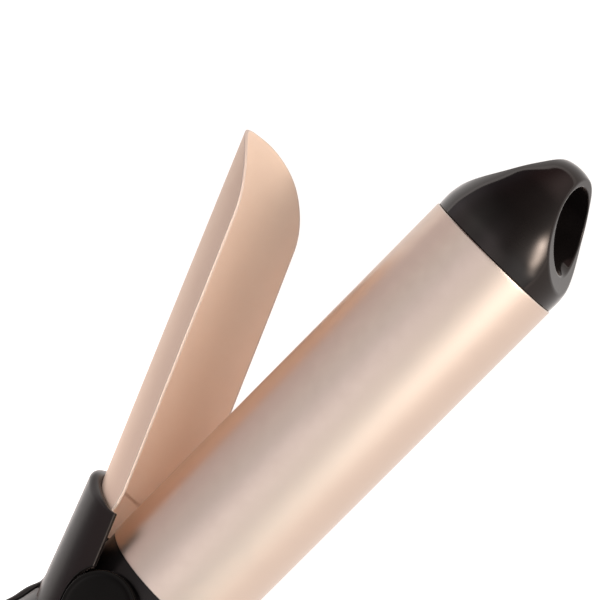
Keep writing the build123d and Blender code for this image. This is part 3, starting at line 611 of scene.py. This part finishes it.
def housing_field(x, y, z):
    t = np.clip((-96.0 - x) / 44.0, 0, 1)
    Ay = 24.35 + 1.95 * t
    Az = HALF_W - 0.15 + 0.15 * t - 0.02
    g = np.hypot(y / Ay, z / Az)
    outer = g * (g - 1) / np.maximum(np.hypot(y / Ay ** 2, z / Az ** 2), 1e-6)
    plan = planform(x, y)
    front = step(x, -112.0, -104.0) * step(y, 6.0, 17.0)
    rr = 0.42 + 2.1 * front
    d = both(outer, plan, rr)
    d = np.maximum(d, -(y - 1.0))
    inner = HOUSING_RI - np.hypot(y, z)
    d = both(d, inner, 0.22)
    crown = 0.024 * z * z * step(x, -141.0, -133.0)
    lever = both(lever_side(x, y + crown), tongue(x, z), 1.25)
    lever = np.maximum(lever, HOUSING_RI + 1.2 - np.hypot(y, z))
    d = either(d, lever, 0.7)
    # ear webs down to the pivots
    rp = np.hypot(x - px, y - py)
    az = np.abs(z)
    slab = np.maximum(17.95 - az, az - 19.25)
    arm = np.maximum(np.maximum(rp - 13.4, py - y + 2.0), 0 - (y - 3.0))
    disc = np.minimum(rp - 9.9, np.maximum(np.abs(x - px) - 7.6, np.maximum(py - y, y - 11.0)))
    web = both(disc, slab, 0.12)
    web = np.maximum(web, 5.0 - rp)
    d = np.minimum(d, web)
    return d


P, F, N = grow(housing_field, (-166.4, -12.0, -HALF_W - 0.6), (-94.8, 49.0, HALF_W + 0.6), 0.40)
housing = add_mesh("lever_saddle", P, F, N, clamp=True, body="clamp", replaces=("lever_housing",), material=MAT["housing_black"])

# ---------------------------------------------------------------------------
# pivot caps: turned discs with a rolled rim and a shallow dish
# ---------------------------------------------------------------------------
cap_lo, cap_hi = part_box("pivot_caps")
CAP_R = (cap_hi.x - cap_lo.x) / 2 * 1000.0
CAP_Z1 = (cap_hi.z - cap_lo.z) / 2 * 1000.0
CAP_Z0 = 19.40
cap = [(CAP_Z0, 2.0), (CAP_Z0, CAP_R - 0.25), (CAP_Z0 + 0.08, CAP_R - 0.07), (CAP_Z0 + 0.25, CAP_R)]
cap += [(CAP_Z1 - 0.45, CAP_R)] + arc(CAP_Z1 - 0.45, CAP_R - 0.45, 0.45, 90, 0, 8)[1:]
cap += [(CAP_Z1, CAP_R - 0.95), (CAP_Z1 - 0.02, CAP_R - 1.15), (CAP_Z1 - 0.10, CAP_R - 1.4), (CAP_Z1 - 0.16, CAP_R - 1.7),
        (CAP_Z1 - 0.20, CAP_R - 2.4), (CAP_Z1 - 0.27, 6.0), (CAP_Z1 - 0.32, 4.0), (CAP_Z1 - 0.35, 2.0), (CAP_Z1 - 0.35, 0.6)]
caps_P, caps_F = [], []
for s in (1, -1):
    P, F = lathe(cap, 128, close_start=True, close_end=True)
    Q = np.stack([P[:, 1] + px, P[:, 2] + py, s * P[:, 0]], 1)
    o = sum(len(q) for q in caps_P)
    caps_P.append(Q)
    caps_F += [tuple(o + i for i in (f[::-1] if s < 0 else f)) for f in F]
    P, F = lathe([(9.0, 2.0), (CAP_Z0, 2.0)], 32, close_start=True, close_end=True)
    Q = np.stack([P[:, 1] + px, P[:, 2] + py, s * P[:, 0]], 1)
    o = sum(len(q) for q in caps_P)
    caps_P.append(Q)
    caps_F += [tuple(o + i for i in (f[::-1] if s < 0 else f)) for f in F]
# the discs take the shaded copy of the gloss black (painted shade)
caps = add_mesh("pivot_discs", np.vstack(caps_P), caps_F, body="handle", replaces=("pivot_caps",), material=DISC_BLACK_SHADED)
bm = bmesh.new(); bm.from_mesh(caps.data)
bmesh.ops.recalc_face_normals(bm, faces=bm.faces)
bm.to_mesh(caps.data); bm.free()
caps.data.set_sharp_from_angle(angle=math.radians(50))

bm = bmesh.new(); bm.from_mesh(barrel.data)
bmesh.ops.recalc_face_normals(bm, faces=bm.faces)
bm.to_mesh(barrel.data); bm.free()
barrel.data.set_sharp_from_angle(angle=math.radians(60))
# painted highlight: vertices on the rolled rims at both ends of the barrel are marked for their own edge colour
local = (np.array([v.co for v in barrel.data.vertices]) - ORIGIN) * 1000.0
rim_r = np.hypot(local[:, 1], local[:, 2])
rim_highlight_ends = (np.minimum(np.abs(local[:, 0]), np.abs(local[:, 0] + BARREL_L)) < 0.30) & (rim_r > R - 0.36)
cut_highlight = barrel.data.attributes.new("cut_edge_highlight", "FLOAT", "POINT")
cut_highlight.data.foreach_set("value", rim_highlight_ends.astype(np.float32))

# ---------------------------------------------------------------------------
# floor, light, camera
# ---------------------------------------------------------------------------
def plane(name, size, z, material):
    me = bpy.data.meshes.new(name)
    s = size / 2
    me.from_pydata([(-s, -s, z), (s, -s, z), (s, s, z), (-s, s, z)], [], [(0, 1, 2, 3)])
    me.materials.append(material)
    ob = bpy.data.objects.new(name, me)
    bpy.context.scene.collection.objects.link(ob)
    return ob


fm, nt, b = nodes_of("floor_white")
b.inputs["Roughness"].default_value = 0.9
b.inputs["Specular IOR Level"].default_value = 0.0
fcol = ramp(nt, noise(nt, 12.0, 3.0), [(0.3, (0.195, 0.194, 0.193)), (0.7, (0.205, 0.204, 0.203))])
nt.links.new(fcol, b.inputs["Base Color"])
b.inputs["Emission Color"].default_value = (1.0, 0.965, 0.945, 1)
# lit from below round the iron, even near it and brighter from about 0.36 m out to 0.46 m from the middle of the table
tc = nt.nodes.new("ShaderNodeTexCoord")
ln = nt.nodes.new("ShaderNodeVectorMath"); ln.operation = "LENGTH"
nt.links.new(tc.outputs["Object"], ln.inputs[0])
base_glow = remap(nt, ln.outputs["Value"], 0.97, 1.45, 0.36, 0.46)
# a brighter pool of that light beside the lever housing, round the middle of the line between two points on the table
POOL_A, POOL_B, POOL_R, POOL_K = (-0.011, 0.022), (0.0164, 0.0345), 0.025, 1.15


def fmath(op, *args):
    n = nt.nodes.new("ShaderNodeMath")
    n.operation = op
    for i, v in enumerate(args):
        if isinstance(v, (int, float)):
            n.inputs[i].default_value = v
        else:
            nt.links.new(v, n.inputs[i])
    return n.outputs[0]


fx = nt.nodes.new("ShaderNodeSeparateXYZ")
nt.links.new(tc.outputs["Object"], fx.inputs[0])
ux, uy = POOL_B[0] - POOL_A[0], POOL_B[1] - POOL_A[1]
ul = math.hypot(ux, uy)
ux, uy = ux / ul, uy / ul
dx = fmath("SUBTRACT", fx.outputs["X"], 0.5 * (POOL_A[0] + POOL_B[0]))
dy = fmath("SUBTRACT", fx.outputs["Y"], 0.5 * (POOL_A[1] + POOL_B[1]))
along = fmath("ADD", fmath("MULTIPLY", dx, ux), fmath("MULTIPLY", dy, uy))
across = fmath("SUBTRACT", fmath("MULTIPLY", dx, uy), fmath("MULTIPLY", dy, ux))
along = fmath("DIVIDE", along, POOL_R + 0.5 * ul)
across = fmath("DIVIDE", across, POOL_R)
reach = fmath("ADD", fmath("MULTIPLY", along, along), fmath("MULTIPLY", across, across))
pool = fmath("MULTIPLY", fmath("EXPONENT", fmath("MULTIPLY", reach, -1.0)), POOL_K)
nt.links.new(fmath("ADD", base_glow, pool), b.inputs["Emission Strength"])
floor = plane("floor", 12.0, -0.0004, fm)

# studio: soft round lights far away on all sides, each fading smoothly to its edge; azimuth from +x towards +y
LOBES = [
    (-56, 17, 120.0, (24.0, 22.5, 20.4)),
    (-67, 13, 120.0, (17.0, 15.9, 14.4)),
    (-57, 20, 60.0, (3.0, 3.0, 3.0)),
    (-80, 9, 100.0, (4.0, 3.8, 3.5)),
    (225, 58, 16.0, (1.60, 1.64, 1.70)),
    (270, 11, 16.0, (1.08, 1.22, 1.27)),
    (270, 34, 16.0, (0.80, 0.90, 0.96)),
    (0, 88, 16.0, (0.999, 0.992, 1.089)),
    (90, 58, 16.0, (0.901, 0.974, 0.994)),
    (300, 34, 16.0, (0.60, 0.61, 0.60)),
    (0, 11, 16.0, (0.839, 0.676, 0.685)),
    (90, 11, 16.0, (0.692, 0.655, 0.696)),
    (330, 11, 16.0, (0.485, 0.516, 0.524)),
    (90, 34, 16.0, (0.485, 0.481, 0.486)),
    (180, 58, 16.0, (0.388, 0.432, 0.501)),
    (150, 11, 16.0, (0.427, 0.399, 0.443)),
    (180, 11, 16.0, (0.288, 0.289, 0.301)),
    (120, 34, 16.0, (0.229, 0.104, 0.124)),
    (240, 11, 16.0, (0.111, 0.156, 0.153)),
    (60, 11, 16.0, (0.098, 0.081, 0.101)),
    (30, 11, 16.0, (0.144, 0.041, 0.044)),
    (240, 34, 16.0, (0.022, 0.021, 0.034)),
]

world = bpy.data.worlds.new("world")
bpy.context.scene.world = world
world.use_nodes = True
wt = world.node_tree


def wmath(op, *args):
    n = wt.nodes.new("ShaderNodeMath")
    n.operation = op
    for i, v in enumerate(args):
        if isinstance(v, (int, float)):
            n.inputs[i].default_value = v
        else:
            wt.links.new(v, n.inputs[i])
    return n.outputs[0]


direction = wt.nodes.new("ShaderNodeTexCoord").outputs["Generated"]
total = None
for az, el, k, col in LOBES:
    a, e = math.radians(az), math.radians(el)
    dot = wt.nodes.new("ShaderNodeVectorMath")
    dot.operation = "DOT_PRODUCT"
    wt.links.new(direction, dot.inputs[0])
    dot.inputs[1].default_value = (math.cos(e) * math.cos(a), math.cos(e) * math.sin(a), math.sin(e))
    glow = wmath("EXPONENT", wmath("MULTIPLY_ADD", dot.outputs["Value"], k, -k))
    add = wt.nodes.new("ShaderNodeVectorMath")
    add.operation = "MULTIPLY_ADD"
    wt.links.new(glow, add.inputs[0])
    add.inputs[1].default_value = col
    if total is None:
        add.inputs[2].default_value = (0.004, 0.004, 0.004)
    else:
        wt.links.new(total, add.inputs[2])
    total = add.outputs[0]
wt.links.new(total, wt.nodes["Background"].inputs["Color"])
wt.nodes["Background"].inputs["Strength"].default_value = 1.0

cam_data = bpy.data.cameras.new("camera")
cam = bpy.data.objects.new("camera", cam_data)
bpy.context.scene.collection.objects.link(cam)
right = Vector((0.69657863, -0.60325541, -0.38840844))
up = Vector((0.70810992, 0.66523838, 0.23672397))
fwd = Vector((-0.11557919, 0.43993273, -0.89056198))
m = Matrix.Identity(4)
for i in range(3):
    m[i][0], m[i][1], m[i][2] = right[i], up[i], -fwd[i]
pos = Vector(ORIGIN) + Vector((20.7396, -211.1332, 487.3568)) / 1000.0
m[0][3], m[1][3], m[2][3] = pos
cam.matrix_world = m
cam_data.sensor_width = 36.0
cam_data.lens = 129.779
cam_data.clip_start = 0.01
cam_data.clip_end = 50.0
bpy.context.scene.camera = cam
bpy.context.scene.view_settings.view_transform = "Standard"
bpy.context.scene.view_settings.look = "None"
bpy.context.scene.view_settings.exposure = 0.0
bpy.context.scene.view_settings.gamma = 1.0
